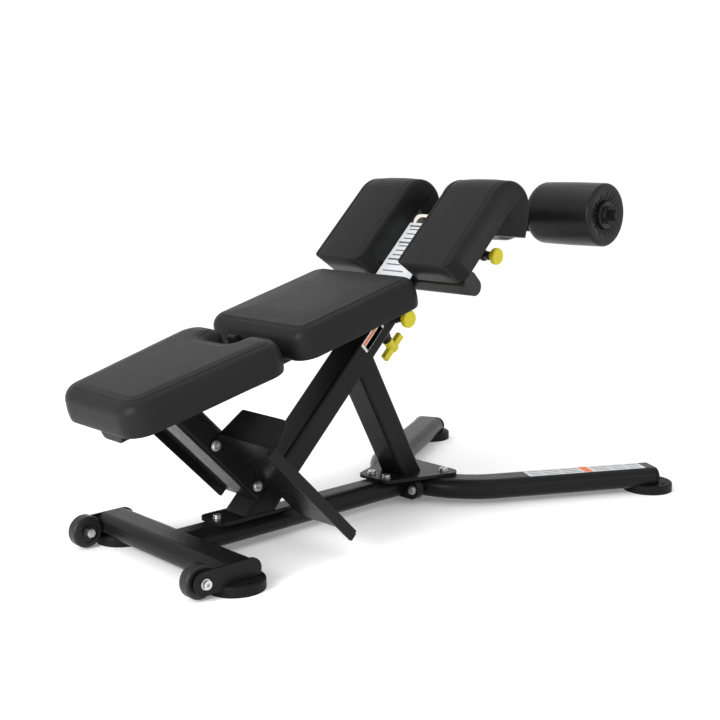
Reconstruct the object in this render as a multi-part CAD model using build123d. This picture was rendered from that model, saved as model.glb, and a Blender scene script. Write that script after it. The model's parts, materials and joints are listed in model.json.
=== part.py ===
"""Ab and back bench of the roman chair kind: a hinged back pad, thigh pads and ankle rollers on a welded frame.

Millimetres, +Z up. +X points to the ankle rollers, Y = 0 is the mirror plane, Z = 0 is the floor.
Everything is drawn with X = 0 near the middle of the base; on export it moves by ORIGIN_SHIFT along X, so that
the origin comes under the middle of the bounding box.
Three slanted frames of reference carry most of the shapes: MAST (x along the mast, y across it, upwards),
PAD (x up the pads' slope, y out of their top faces) and SIDE (x = X, y = Z). All three have z = -Y.
"""
from build123d import *
import math
import os

ORIGIN_SHIFT = 27.3

# ---- base tubes -------------------------------------------------------------------------------------------
TUBE_HEIGHT = 50.0
TUBE_MID_Z = 38.5
TUBE_TOP_Z = TUBE_MID_Z + TUBE_HEIGHT / 2
WALL = 3.0
WIDE_TUBE = 90.0
BASE_TUBE_WIDTH = 78.0
STABILISER_X = -569.6
STABILISER_HALF = 227.0
END_PLATE_THICK = 6.0
WHEEL_X = -652.3
WHEEL_RADIUS = 35.0
WHEEL_WIDTH = 28.0
WHEEL_Y = 207.0
AXLE_RADIUS = 6.0
RUNNING = 0.05
FLANGE_X = 88.0
FLANGE_THICK = 10.0
FLANGE_WIDTH = 170.0
FLANGE_BOLT_Y = 67.0
BEND_RADIUS = 208.0
BEND_APEX_X = FLANGE_X + 2 * FLANGE_THICK + WIDE_TUBE / 2
LEG_END_X = 630.0
LEG_ANGLE = 28.7

# ---- feet -------------------------------------------------------------------------------------------------
FOOT_RADIUS = 61.0
FOOT_HEIGHT = 22.0
FOOT_HOLE_RADIUS = 6.0
REAR_FOOT = (-559.0, 204.0)
FRONT_FOOT = (629.0, 383.5)
REAR_HOLE_Y = 252.0
FRONT_HOLE_Y = 428.0

# ---- mast, strut and post ---------------------------------------------------------------------------------
MAST_FOOT_X = -432.4
MAST_ANGLE = 45.0
MAST_DEPTH = 60.0
MAST_WIDTH = 80.0
MAST_TOP = 700.0
CORNER = 9.0
FOOT_PLATE_THICK = 8.0
FOOT_PLATE_TOP = TUBE_TOP_Z + FOOT_PLATE_THICK
STRUT_MID = (51.9, 190.1)
STRUT_ANGLE = 118.4
POST_ALONG = 144.0
BOLT_RADIUS = 5.0
BOLT_HEAD_RADIUS = 10.0
GUARD_HEIGHT = 66.0

# ---- pads -------------------------------------------------------------------------------------------------
PAD_SLOPE = 15.0
PAD_ORIGIN = (-380.1, 0, 467.1)
PAD_TOP = 10.5
PAD_THICK = 71.0
PAD_BOTTOM = PAD_TOP - PAD_THICK
PAD_EDGE = 30.0
BOARD_THICK = 12.0
BOARD_INSET = 12.0
LOWER_START = -381.5
LOWER_END = -1.0
LOWER_HALVES = (137.0, 167.0)
LOWER_CORNER = 52.0
UPPER_START = 29.5
UPPER_END = 396.0
UPPER_HALVES = (167.0, 172.0)
UPPER_CORNER = 42.0
NOTCH_START = -55.0
NOTCH_HALVES = (44.0, 50.0)
NOTCH_MOUTH_CORNER = 32.0
NOTCH_INNER_CORNER = 10.0
BEAM_WIDTH = 80.0
BEAM_HEIGHT = 34.5
BEAM_START = -352.0
CARRIER_HEIGHT = 27.2
HINGE_SLOPE = 14.0
HINGE_DEPTH = -24.3
HINGE_PIN_RADIUS = 6.0
HINGE_LUG_RADIUS = 9.5

# ---- lock pins --------------------------------------------------------------------------------------------
PAD_PIN_ALONG = 662.0
LATCH_Y = 43.0
LATCH_THICK = 6.0
ARM_PIN = (335.0, 597.0)
ARM_PIN_STAND_OFF = 29.0
PIN_RADIUS = 5.0
KNOB_RADIUS = 21.0
T_HANDLE_ALONG = 637.0
T_PLUNGER_RADIUS = 6.0

# ---- head -------------------------------------------------------------------------------------------------
INNER_DEPTH = 48.0
INNER_WIDTH = 68.0
INNER_START = 430.0
LINER_GAP = 0.15
SLEEVE_MID_Z = 668.0
SLEEVE_START = 210.6
SLEEVE_END = 436.0
SLEEVE_WIDTH = 106.0
SLEEVE_HEIGHT = 66.0
SLEEVE_WALL = 4.0
ARM_WIDTH = 90.0
ARM_HEIGHT = 50.0
ARM_START = 270.0
ARM_NECK_X = 498.0
ARM_END = 569.8
NECK_WIDTH = 54.0
NECK_HEIGHT = 46.0
ROLLER_X = 594.0
ROLLER_Z = 695.1
ROLLER_RADIUS = 80.0
ROLLER_INNER_Y = 45.0
ROLLER_OUTER_Y = 253.0
ROLLER_INNER_EDGE = 27.0
ROLLER_OUTER_EDGE = 8.0
HUB_RADIUS = 16.0
HUB_FLANGE_RADIUS = 34.0
HUB_SLEEVE_RADIUS = 22.0
HUB_SLEEVE_LENGTH = 14.0
AXLE_STUB = 33.0
AXLE_STUB_RADIUS = 14.0
AXLE_BAR_RADIUS = 10.0
THIGH_INNER_Y = 60.5
THIGH_OUTER_Y = 226.5
THIGH_UNDER = 27.3
THIGH_FACE = 98.0
THIGH_DOME = (980.0, 78.0)
THIGH_EDGE = 10.0
CROSSBAR_AT = (786.0, -5.3)
PIN_PITCH = 25.0

SIDE = Plane(origin=(0, 0, 0), x_dir=(1, 0, 0), z_dir=(0, -1, 0))
MAST = Plane(origin=(MAST_FOOT_X, 0, 0), x_dir=(1, 0, 1), z_dir=(0, -1, 0))
SLOPE = math.radians(PAD_SLOPE)
PAD = Plane(origin=PAD_ORIGIN, x_dir=(math.cos(SLOPE), 0, math.sin(SLOPE)), z_dir=(0, -1, 0))
PAD_FACE = Plane(
    origin=PAD_ORIGIN,
    x_dir=(math.cos(SLOPE), 0, math.sin(SLOPE)),
    z_dir=(-math.sin(SLOPE), 0, math.cos(SLOPE)),
)
NODES = {}


# ---- helpers ----------------------------------------------------------------------------------------------
def keep(name, *shapes):
    """Store the solids of one node."""
    solids = [solid for shape in shapes for solid in shape.solids()]
    NODES[name] = Compound(solids) if len(solids) > 1 else solids[0]


def both_sides(shape):
    """The shape and its mirror image across Y = 0."""
    return [shape, mirror(shape, about=Plane.XZ)]


def slab(plane, sketch, y_low, y_high):
    """Extrude a side-view sketch between two Y values; the plane's z is -Y."""
    return extrude(plane * Pos(0, 0, -y_high) * sketch, amount=y_high - y_low, dir=(0, -1, 0))


def disc_y(x, z, radius, y_low, y_high):
    """Cylinder along Y."""
    return slab(SIDE, Pos(x, z) * Circle(radius), y_low, y_high)


def outline(points, radius=0.0):
    """Closed polygon, its corners rounded by one radius or a list of radii."""
    sketch = Polygon(*points, align=None)
    if not radius:
        return sketch
    if not isinstance(radius, (list, tuple)):
        return fillet(sketch.vertices(), radius)
    for point, corner in zip(points, radius):
        if corner:
            vertex = sketch.vertices().sort_by_distance(Vector(*point, 0))[0]
            sketch = fillet(vertex, corner)
    return sketch


def oval(width, height):
    """Flat-oval section: two straight sides and two half circles."""
    return SlotOverall(width, height)


def tube(plane, section, inner, start, length):
    """Hollow tube: a section on a plane, from start along the plane's z."""
    outer = extrude(plane * Pos(0, 0, start) * section, amount=length)
    return outer - extrude(plane * Pos(0, 0, start) * inner, amount=length)


def screw(head, direction, length, head_height=6.0):
    """Flange-head screw with a hex socket: the head's seat is at head, the shank goes along direction."""
    way = Vector(*direction).normalized()
    plane = Plane(origin=head, z_dir=way)
    out = Plane(origin=head, z_dir=way * -1)
    washer = extrude(out * Circle(BOLT_HEAD_RADIUS + 1.5), amount=1.5)
    cap = extrude(out * Pos(0, 0, 1.5) * Circle(BOLT_HEAD_RADIUS), amount=head_height)
    cap = fillet(cap.edges().group_by(lambda e: (e.center() - Vector(*head)).dot(way))[0], 1.5)
    socket = extrude(out * Pos(0, 0, 1.5 + head_height) * RegularPolygon(4.0, 6), amount=-4.0)
    shank = extrude(plane * Circle(BOLT_RADIUS), amount=length)
    return (washer + cap + shank) - socket


def less(shape, *tools):
    """Cut every tool out of a shape."""
    for tool in tools:
        shape = shape - tool
    return shape


def oval_bar_y(x, z, width, height, y_low, y_high):
    """Solid flat-oval bar along Y."""
    return slab(SIDE, Pos(x, z) * oval(width, height), y_low, y_high)


# ---- rear stabiliser, wheels, feet ------------------------------------------------------------------------
def rear_end():
    outer = oval_bar_y(STABILISER_X, TUBE_MID_Z, WIDE_TUBE, TUBE_HEIGHT, -STABILISER_HALF, STABILISER_HALF)
    inner = oval_bar_y(
        STABILISER_X, TUBE_MID_Z, WIDE_TUBE - 2 * WALL, TUBE_HEIGHT - 2 * WALL, -STABILISER_HALF, STABILISER_HALF
    )
    keep("rear_stabiliser", outer - inner)

    plate_right = -516.0
    radius = 24.5
    centre = ((WHEEL_X - radius + plate_right) / 2, TUBE_MID_Z)
    length = plate_right - (WHEEL_X - radius)
    face_y = STABILISER_HALF + END_PLATE_THICK
    plate = slab(SIDE, Pos(*centre) * oval(length, 2 * radius), STABILISER_HALF, face_y)
    keep("stabiliser_end_plates", *both_sides(plate - disc_y(*axle_at(), AXLE_RADIUS, 200, 250)))

    head = disc_y(*axle_at(), 11.0, face_y, face_y + 2) + disc_y(*axle_at(), 9.0, face_y + 2, face_y + 9)
    socket = slab(SIDE, Pos(*axle_at()) * RegularPolygon(4.5, 6), face_y + 5, face_y + 9)
    shank = disc_y(*axle_at(), AXLE_RADIUS, 176, face_y)
    nut = slab(SIDE, Pos(*axle_at()) * RegularPolygon(10.0, 6), 181, 190.5) - disc_y(
        *axle_at(), AXLE_RADIUS, 170, 200
    )
    keep("axle_bolts", *both_sides(head + shank - socket), *both_sides(nut))

    hub_low = WHEEL_Y - WHEEL_WIDTH / 2
    hub_high = WHEEL_Y + WHEEL_WIDTH / 2
    wheel = disc_y(*axle_at(), WHEEL_RADIUS, hub_low, hub_high)
    wheel = fillet(wheel.edges().filter_by(GeomType.CIRCLE), 5.0)
    for low, high in ((hub_low, hub_low + 3), (hub_high - 3, hub_high)):
        ring = disc_y(*axle_at(), 24, low, high) - disc_y(*axle_at(), 13, low, high)
        wheel = wheel - ring
    wheel = wheel + disc_y(*axle_at(), 13, hub_low - 2, hub_high + 2)
    wheel = wheel - disc_y(*axle_at(), AXLE_RADIUS + RUNNING, 150, 260)
    keep("wheel_left", wheel)
    keep("wheel_right", mirror(wheel, about=Plane.XZ))
    return outer


def axle_at():
    return (WHEEL_X, TUBE_MID_Z)


def foot(centre, hole_y):
    """Round rubber foot with a floor-bolt hole near its outer edge."""
    x, y = centre
    disc = Pos(x, y, FOOT_HEIGHT / 2) * Cylinder(FOOT_RADIUS, FOOT_HEIGHT)
    disc = fillet(disc.edges().group_by(Axis.Z)[-1], 5.0)
    hole = Pos(x, hole_y, FOOT_HEIGHT / 2) * Cylinder(FOOT_HOLE_RADIUS, FOOT_HEIGHT + 2)
    return disc - hole


def feet(stabiliser, legs):
    end_plate = slab(SIDE, Pos(-596.65, TUBE_MID_Z) * oval(161.3, 49), 227, 233)
    rear = foot(REAR_FOOT, REAR_HOLE_Y)
    keep("rear_feet", *both_sides(less(rear, stabiliser, end_plate)))
    front = foot(FRONT_FOOT, FRONT_HOLE_Y)
    keep("front_feet", *both_sides(less(front, legs, leg_plate())))


# ---- base tube, flanges and front legs --------------------------------------------------------------------
def leg_path():
    """Centreline of the bent tube: leg, bend round the apex, leg."""
    turn = math.radians(90 - LEG_ANGLE)
    centre_x = BEND_APEX_X + BEND_RADIUS
    tangent = (centre_x - BEND_RADIUS * math.cos(turn), BEND_RADIUS * math.sin(turn))
    end_y = tangent[1] + (LEG_END_X - tangent[0]) * math.tan(math.radians(LEG_ANGLE))
    near = [(LEG_END_X, -end_y, TUBE_MID_Z), (tangent[0], -tangent[1], TUBE_MID_Z)]
    far = [(tangent[0], tangent[1], TUBE_MID_Z), (LEG_END_X, end_y, TUBE_MID_Z)]
    bend = ThreePointArc(near[1], (BEND_APEX_X, 0, TUBE_MID_Z), far[0])
    return Wire([Edge.make_line(*near), bend.edge(), Edge.make_line(*far)]), near, far


def leg_plate():
    """Plate that closes the end of a front leg."""
    far = leg_path()[2]
    angle = math.radians(LEG_ANGLE)
    plane = Plane(origin=far[1], x_dir=(-math.sin(angle), math.cos(angle), 0),
                  z_dir=(math.cos(angle), math.sin(angle), 0))
    return extrude(plane * oval(WIDE_TUBE + 4, TUBE_HEIGHT - 1), amount=END_PLATE_THICK)


def front_legs():
    path, near, far = leg_path()
    angle = math.radians(LEG_ANGLE)
    plane = Plane(origin=near[0], x_dir=(math.sin(angle), math.cos(angle), 0),
                  z_dir=(-math.cos(angle), math.sin(angle), 0))
    outer = sweep(plane * oval(WIDE_TUBE, TUBE_HEIGHT), path=path)
    inner = sweep(plane * oval(WIDE_TUBE - 2 * WALL, TUBE_HEIGHT - 2 * WALL), path=path)
    keep("leg_end_plates", *both_sides(leg_plate()))
    return outer, inner


def flange(x):
    section = Plane(origin=(x, 0, TUBE_MID_Z), x_dir=(0, 1, 0), z_dir=(1, 0, 0))
    return extrude(section * oval(FLANGE_WIDTH, TUBE_HEIGHT), amount=FLANGE_THICK)


def base(stabiliser):
    section = Plane(origin=(0, 0, TUBE_MID_Z), x_dir=(0, 1, 0), z_dir=(1, 0, 0))
    start = STABILISER_X + 15
    bar = tube(
        section,
        oval(BASE_TUBE_WIDTH, TUBE_HEIGHT),
        oval(BASE_TUBE_WIDTH - 2 * WALL, TUBE_HEIGHT - 2 * WALL),
        start,
        FLANGE_X - start,
    )
    bar = bar - stabiliser
    bar = bar.solids().sort_by(SortBy.VOLUME)[-1]

    legs, legs_inner = front_legs()
    bolts = []
    for y in (-FLANGE_BOLT_Y, FLANGE_BOLT_Y):
        shank_end = FLANGE_X + 2 * FLANGE_THICK + 6
        bolt = screw((FLANGE_X, y, TUBE_MID_Z), (1, 0, 0), shank_end - FLANGE_X)
        nut_plane = Plane(origin=(shank_end - 5.5, y, TUBE_MID_Z), z_dir=(1, 0, 0))
        nut = extrude(nut_plane * (RegularPolygon(9.0, 6) - Circle(BOLT_RADIUS)), amount=5)
        bolts += [bolt, nut]
    saddle_x = FLANGE_X + 2 * FLANGE_THICK
    saddle = Pos(saddle_x + 10, 0, TUBE_MID_Z) * Box(20, 96, 40)
    rear_flange = less(flange(FLANGE_X), *bolts)
    front_flange = less(flange(FLANGE_X + FLANGE_THICK) + saddle, legs, *bolts)
    keep("joint_flanges", rear_flange, front_flange.solids().sort_by(SortBy.VOLUME)[-1])
    keep("flange_bolts", *bolts)
    return bar, legs, legs_inner


# ---- mast, strut, post and their foot plates --------------------------------------------------------------
def rounded(width, height, shrink=0.0):
    return RectangleRounded(width - 2 * shrink, height - 2 * shrink, CORNER - shrink)


def slanted_tube(origin, angle, low, high, depth=MAST_DEPTH, width=MAST_WIDTH):
    """Rounded rectangular tube in the mirror plane: (outer, inner) solids."""
    way = math.radians(angle)
    plane = Plane(origin=origin, x_dir=(0, 1, 0), z_dir=(math.cos(way), 0, math.sin(way)))
    outer = extrude(plane * Pos(0, 0, low) * rounded(width, depth), amount=high - low)
    inner = extrude(plane * Pos(0, 0, low - 1) * rounded(width, depth, WALL), amount=high - low + 2)
    return outer, inner


def half_space_below(z):
    return Pos(0, 0, z - 500) * Box(3000, 1000, 1000)


def structure(bar, legs, legs_inner):
    mast_outer, mast_inner = slanted_tube((MAST_FOOT_X, 0, 0), MAST_ANGLE, 60, MAST_TOP)
    strut_outer, strut_inner = slanted_tube((STRUT_MID[0], 0, STRUT_MID[1]), STRUT_ANGLE, -170, 330)
    mast = mast_outer - mast_inner - half_space_below(FOOT_PLATE_TOP)
    pin_hole = slab(MAST, Pos(PAD_PIN_ALONG, 0) * Circle(PIN_RADIUS + 0.5), -60, 0)
    t_way = Plane(origin=on_mast(T_HANDLE_ALONG, 0), z_dir=(1, 0, -1))
    t_hole = extrude(t_way * Circle(T_PLUNGER_RADIUS + 0.3), amount=60)
    keep("mast_sleeve", mast - pin_hole - t_hole)
    strut = less(strut_outer, strut_inner, half_space_below(FOOT_PLATE_TOP), mast_outer)
    keep("strut", strut.solids().sort_by(SortBy.VOLUME)[-1])

    mast_plate = RectangleRounded(196, 84, 18)
    mast_plate = extrude(Plane.XY.offset(TUBE_TOP_Z) * Pos(-373, 0) * mast_plate, amount=FOOT_PLATE_THICK)
    left, right = 14.0, 217.0
    plate_shape = outline([(left, -48), (right, -120), (right, 120), (left, 48)], [20, 26, 26, 20])
    strut_plate = extrude(Plane.XY.offset(TUBE_TOP_Z) * plate_shape, amount=FOOT_PLATE_THICK)
    places = [(-449, 0), (-296, 0), (39, 25), (39, -25), (187, 78), (187, -78)]
    bolts = [screw((x, y, FOOT_PLATE_TOP), (0, 0, -1), 24) for x, y in places]
    keep("mast_foot_plate", less(mast_plate, *bolts))
    keep("strut_foot_plate", less(strut_plate, *bolts))
    keep("base_screws", *bolts)
    keep("base_tube", less(bar, *bolts))
    keep("front_leg_tube", less(legs - legs_inner, *bolts).solids().sort_by(SortBy.VOLUME)[-1])

    post_outer, post_inner = slanted_tube(on_mast(POST_ALONG, 0), 135, MAST_DEPTH / 2, 340)
    above = PAD_FACE * Pos(-200, 0, PAD_BOTTOM - BEAM_HEIGHT + 100) * Box(600, 300, 200)
    keep("pad_post", less(post_outer, post_inner, above, *foot_plate_screws()))


def on_mast(along, across, y=0.0):
    """A point given along and across the mast."""
    return tuple(MAST.from_local_coords(Vector(along, across, -y)))


def foot_plate_screws():
    screws = []
    for across in (209.5, 56.0):
        screws.append(screw(on_mast(137, across, -45), (0, 1, 0), 12, 5))
        screws.append(screw(on_mast(137, across, 45), (0, -1, 0), 12, 5))
    return screws


def foot_plates():
    """Bent sheet for one foot, its inner flange bolted to the post, a lip outside and a guard at the heel."""
    thick = 5.0
    low, high = -90.7, 224.6
    top = 162.0
    inner_y, outer_y = 40.0, 232.0
    face = Plane(origin=on_mast(top, 0), x_dir=(-1, 0, 1), z_dir=(1, 0, 1))
    tread = outline(
        [(low, 46), (32, 46), (32, 40), (218, 40), (high, 46), (high, outer_y), (low, outer_y)],
        [30, 0, 0, 0, 0, 0, 6],
    )
    sheet = extrude(face * Pos(0, 0, -thick) * mirror(tread, about=Plane.XZ), amount=thick)
    flange_side = outline([(119, 40), (top - thick, 36), (top - thick, 218), (119, 214)], [12, 0, 0, 12])
    bracket = slab(MAST, flange_side, inner_y, inner_y + thick)
    lip_side = outline([(137, low), (top - thick, low), (top - thick, high), (137, high)], [5, 0, 0, 5])
    lip = slab(MAST, lip_side, outer_y - thick, outer_y)
    tilt = math.radians(16)
    guard_plane = Plane(
        origin=on_mast(top - thick, high - thick),
        x_dir=(0, -1, 0),
        z_dir=(-math.cos(tilt - math.pi / 4), 0, math.sin(math.pi / 4 - tilt)),
    )
    guard_shape = outline([(-42, 0), (-outer_y, 0), (-outer_y, GUARD_HEIGHT), (-88, GUARD_HEIGHT)], [0, 0, 14, 10])
    guard = extrude(guard_plane * guard_shape, amount=thick)
    return sheet, bracket, lip, guard


# ---- pads, beam and hinge ---------------------------------------------------------------------------------
def pad_slab(points, radii, top, bottom, edge=0.0):
    sketch = PAD_FACE * Pos(0, 0, bottom) * outline(points, radii)
    block = extrude(sketch, amount=top - bottom)
    if edge:
        normal = PAD_FACE.z_dir
        rim = block.edges().group_by(lambda e: (e.center() - PAD_FACE.origin).dot(normal))[-1]
        block = fillet(rim, edge)
    return block


def taper(start, end, halves, inset=0.0):
    """Four corners of a pad seen from above; halves are its half-widths at the start and at the end."""
    low, high = halves[0] - inset, halves[1] - inset
    start, end = start + inset, end - inset
    return [(start, -low), (end, -high), (end, high), (start, low)]


def lower_outline():
    """Outline of the lower pad, with the open notch for the fingers in its upper end."""
    corners = taper(LOWER_START, LOWER_END, LOWER_HALVES)
    inner, mouth = NOTCH_HALVES
    notch = [(LOWER_END, -mouth), (NOTCH_START, -inner), (NOTCH_START, inner), (LOWER_END, mouth)]
    radii = [LOWER_CORNER, LOWER_CORNER, NOTCH_MOUTH_CORNER, NOTCH_INNER_CORNER]
    return corners[:2] + notch + corners[2:], radii + radii[::-1]


def pads():
    """Two vinyl pads of one thickness; each has its board let into its underside."""
    points, radii = lower_outline()
    soft = pad_slab(points, radii, PAD_TOP, PAD_BOTTOM, PAD_EDGE)
    board_top = PAD_BOTTOM + BOARD_THICK
    points = taper(LOWER_START, LOWER_END, LOWER_HALVES, BOARD_INSET)
    board = pad_slab(points, [LOWER_CORNER - BOARD_INSET] * 4, board_top, PAD_BOTTOM)
    hole = taper(NOTCH_START, 2 * BOARD_INSET, NOTCH_HALVES, -BOARD_INSET)
    board = board - pad_slab(hole, 0, board_top, PAD_BOTTOM)
    keep("lower_pad", soft - board)
    keep("lower_pad_board", board)

    points = taper(UPPER_START, UPPER_END, UPPER_HALVES)
    soft = pad_slab(points, [UPPER_CORNER] * 4, PAD_TOP, PAD_BOTTOM, PAD_EDGE)
    points = taper(UPPER_START, UPPER_END, UPPER_HALVES, BOARD_INSET)
    board = pad_slab(points, [UPPER_CORNER - BOARD_INSET] * 4, board_top, PAD_BOTTOM)
    keep("upper_pad", soft - board)
    keep("upper_pad_board", board)


def beam_plane(start, height):
    """Plane of the section of a tube that lies against a pad's underside."""
    middle = PAD.from_local_coords(Vector(start, PAD_BOTTOM - height / 2, 0))
    return Plane(origin=middle, x_dir=(0, 1, 0), z_dir=PAD.x_dir)


def slope_tube(start, end, height):
    """Flat-oval tube under a pad, along the slope: (outer, inner) solids."""
    plane = beam_plane(start, height)
    outer = extrude(plane * oval(BEAM_WIDTH, height), amount=end - start)
    inner = extrude(plane * oval(BEAM_WIDTH - 2 * WALL, height - 2 * WALL), amount=end - start)
    return outer, inner


def hinge_disc(radius, y_low, y_high):
    """Cylinder along Y about the hinge line."""
    return slab(PAD, Pos(HINGE_SLOPE, HINGE_DEPTH) * Circle(radius), y_low, y_high)


def lug(y_low, y_high, foot_shape):
    return hinge_disc(HINGE_LUG_RADIUS, y_low, y_high) + slab(PAD, foot_shape, y_low, y_high)


def hinge():
    beam_outer, beam_inner = slope_tube(BEAM_START, -16, BEAM_HEIGHT)
    cap = extrude(beam_plane(BEAM_START, BEAM_HEIGHT) * oval(BEAM_WIDTH, BEAM_HEIGHT), amount=-5)
    cap_edge = cap.edges().group_by(lambda e: (e.center() - PAD.origin).dot(PAD.x_dir))[0]
    keep("pad_beam", beam_outer - beam_inner, fillet(cap_edge, 4.0))

    # The fixed half: a plate under the beam, with two ears that stand up between the pads.
    low, high = HINGE_SLOPE - HINGE_LUG_RADIUS, HINGE_SLOPE + HINGE_LUG_RADIUS
    under = PAD_BOTTOM - BEAM_HEIGHT
    plate_under = under - 8
    base_plate = slab(PAD, outline([(-70, plate_under), (high, plate_under), (high, under), (-70, under)]), -57, 57)
    ear_foot = outline([(low, plate_under), (high, plate_under), (high, HINGE_DEPTH), (low, HINGE_DEPTH)])
    ears = [lug(49, 57, ear_foot), lug(-57, -49, ear_foot)]
    keep("hinge_bracket", (base_plate + ears) - hinge_disc(HINGE_PIN_RADIUS, -70, 70))
    pin = hinge_disc(HINGE_PIN_RADIUS, 34, 60) + hinge_disc(9, 57, 60.5)
    keep("hinge_pin", *both_sides(pin))

    # The moving half: two lugs on the sides of the upper pad's carrier tube.
    carrier_outer, carrier_inner = slope_tube(UPPER_START + 2.5, 335, CARRIER_HEIGHT)
    lug_foot = outline([(low, -90), (82, -90), (120, -72), (120, PAD_BOTTOM), (high, PAD_BOTTOM),
                        (high, HINGE_DEPTH), (low, HINGE_DEPTH)])
    lugs = [lug(36, 48, lug_foot), lug(-48, -36, lug_foot)]
    bush_hole = hinge_disc(8, -48, 48)
    keep("pad_carrier", ((carrier_outer - carrier_inner) + lugs) - bush_hole)
    bush = hinge_disc(8, 36, 48) - hinge_disc(HINGE_PIN_RADIUS + RUNNING, 36, 48)
    keep("hinge_bushes", *both_sides(bush))


def latch():
    """Plate that hangs beside the mast from the upper pad's carrier and holds its lock pin."""
    eye = PAD.to_local_coords(Vector(*on_mast(PAD_PIN_ALONG, 0)))
    top = PAD_BOTTOM
    arm = outline([(250, top), (340, top), (eye.X + 14, eye.Y + 8), (eye.X - 4, eye.Y - 17), (330, -96),
                   (262, -84)], [4, 30, 0, 0, 60, 12])
    plate = slab(PAD, arm + Pos(eye.X, eye.Y) * Circle(18), -LATCH_Y - LATCH_THICK, -LATCH_Y)
    spacer = slab(PAD, outline([(255, -82), (325, -82), (325, top - 3), (255, top - 3)]), -LATCH_Y, 4 - BEAM_WIDTH / 2)
    barrel_hole = slab(MAST, Pos(PAD_PIN_ALONG, 0) * Circle(11), -60, -30)
    keep("latch_plate", less(plate + spacer, NODES["pad_carrier"], barrel_hole).solids().sort_by(SortBy.VOLUME)[-1])


# ---- lock pins --------------------------------------------------------------------------------------------
def pull_pin(name, plane, x, y, nose_y, mount_y, stand_off=0.0):
    """Spring pull pin along Y: barrel, spring, plunger with collar, round knob."""
    at = Pos(x, y)
    front = -mount_y - stand_off
    rear = front - 37
    barrel = slab(plane, at * Circle(11), rear, -mount_y)
    barrel = barrel - slab(plane, at * Circle(8), rear + 4, front - 9)
    barrel = barrel - slab(plane, at * Circle(PIN_RADIUS + RUNNING), rear, -mount_y)
    lock_ring = slab(plane, at * (Circle(14) - Circle(11)), rear + 18, rear + 24)
    keep(name + "_barrel", barrel + lock_ring)
    collar_front = front - 9.5
    plunger = slab(plane, at * Circle(PIN_RADIUS), rear - 24, nose_y)
    collar = slab(plane, at * Circle(7.5), collar_front - 3, collar_front)
    keep(name + "_plunger", plunger + collar)
    knob = slab(plane, at * Circle(KNOB_RADIUS), rear - 26, rear - 11)
    knob = fillet(knob.edges().filter_by(GeomType.CIRCLE), 5.0)
    neck = slab(plane, at * Circle(8.5), rear - 11, rear - 1)
    knob = (knob + neck) - slab(plane, at * Circle(PIN_RADIUS), rear - 24, rear)
    keep(name + "_knob", knob)
    coil_start = collar_front - 3.3
    coil_length = coil_start - (rear + 4.3)
    keep(name + "_spring", spring(plane, x, y, coil_start, coil_length))


def spring(plane, x, y, start_y, length):
    """Compression spring along Y."""
    wire = 0.6
    coil_radius = 6.6
    origin = plane.from_local_coords(Vector(x, y, -start_y + wire))
    frame = Plane(origin=origin, x_dir=plane.x_dir, z_dir=(0, -1, 0))
    coil = Helix(pitch=4.2, height=length - 2 * wire, radius=coil_radius)
    section = Plane(origin=coil @ 0, z_dir=coil % 0) * Circle(wire)
    return frame * sweep(section, path=coil, is_frenet=True)


def t_handle():
    """Sprung T-handle square to the mast's lower face; its plunger locks the sliding mast tube."""
    def out(start, length, sketch):
        plane = Plane(origin=on_mast(T_HANDLE_ALONG, 0), x_dir=(1, 0, 1), z_dir=(1, 0, -1))
        return extrude(plane * Pos(0, 0, start) * sketch, amount=length)

    half = MAST_DEPTH / 2
    plane = Plane(origin=on_mast(T_HANDLE_ALONG, -half), z_dir=(1, 0, -1))
    cone = loft([plane * Circle(22), plane * Pos(0, 0, 26) * Circle(15.5)])
    boss = cone + out(half + 26, 8, Circle(13))
    boss = less(boss, out(half + 6, 23, Circle(9)), out(half, 60, Circle(T_PLUNGER_RADIUS + RUNNING)))
    keep("clamp_boss", boss)
    stem = out(INNER_DEPTH / 2 + 0.6, 66, Circle(T_PLUNGER_RADIUS)) + out(half + 6.5, 3, Circle(8.6))
    keep("t_plunger", stem)
    hub = out(half + 36.5, 34, Circle(12.5))
    bar = out(half + 54, 15, RectangleRounded(77, 15, 4))
    grooves = [out(half + 52, 4, Pos(x, 0) * SlotOverall(18, 5)) for x in (-25, 25)]
    keep("t_handle", less(hub + bar, out(0, half + 66, Circle(T_PLUNGER_RADIUS)), *grooves)
         - out(INNER_DEPTH / 2, 66.6, Circle(T_PLUNGER_RADIUS)))
    coil_start = half + 10
    coil = Helix(pitch=4.6, height=17.2, radius=7.5)
    section = Plane(origin=coil @ 0, z_dir=coil % 0) * Circle(0.7)
    frame = Plane(origin=on_mast(T_HANDLE_ALONG, -coil_start - 0.8), x_dir=(1, 0, 1), z_dir=(1, 0, -1))
    keep("t_handle_spring", frame * sweep(section, path=coil, is_frenet=True))


# ---- sliding head -----------------------------------------------------------------------------------------
def sleeve_section(shrink=0.0):
    return RectangleRounded(SLEEVE_WIDTH - 2 * shrink, SLEEVE_HEIGHT - 2 * shrink, 26 - shrink)


def x_plane(x, z):
    return Plane(origin=(x, 0, z), x_dir=(0, 1, 0), z_dir=(1, 0, 0))


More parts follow.
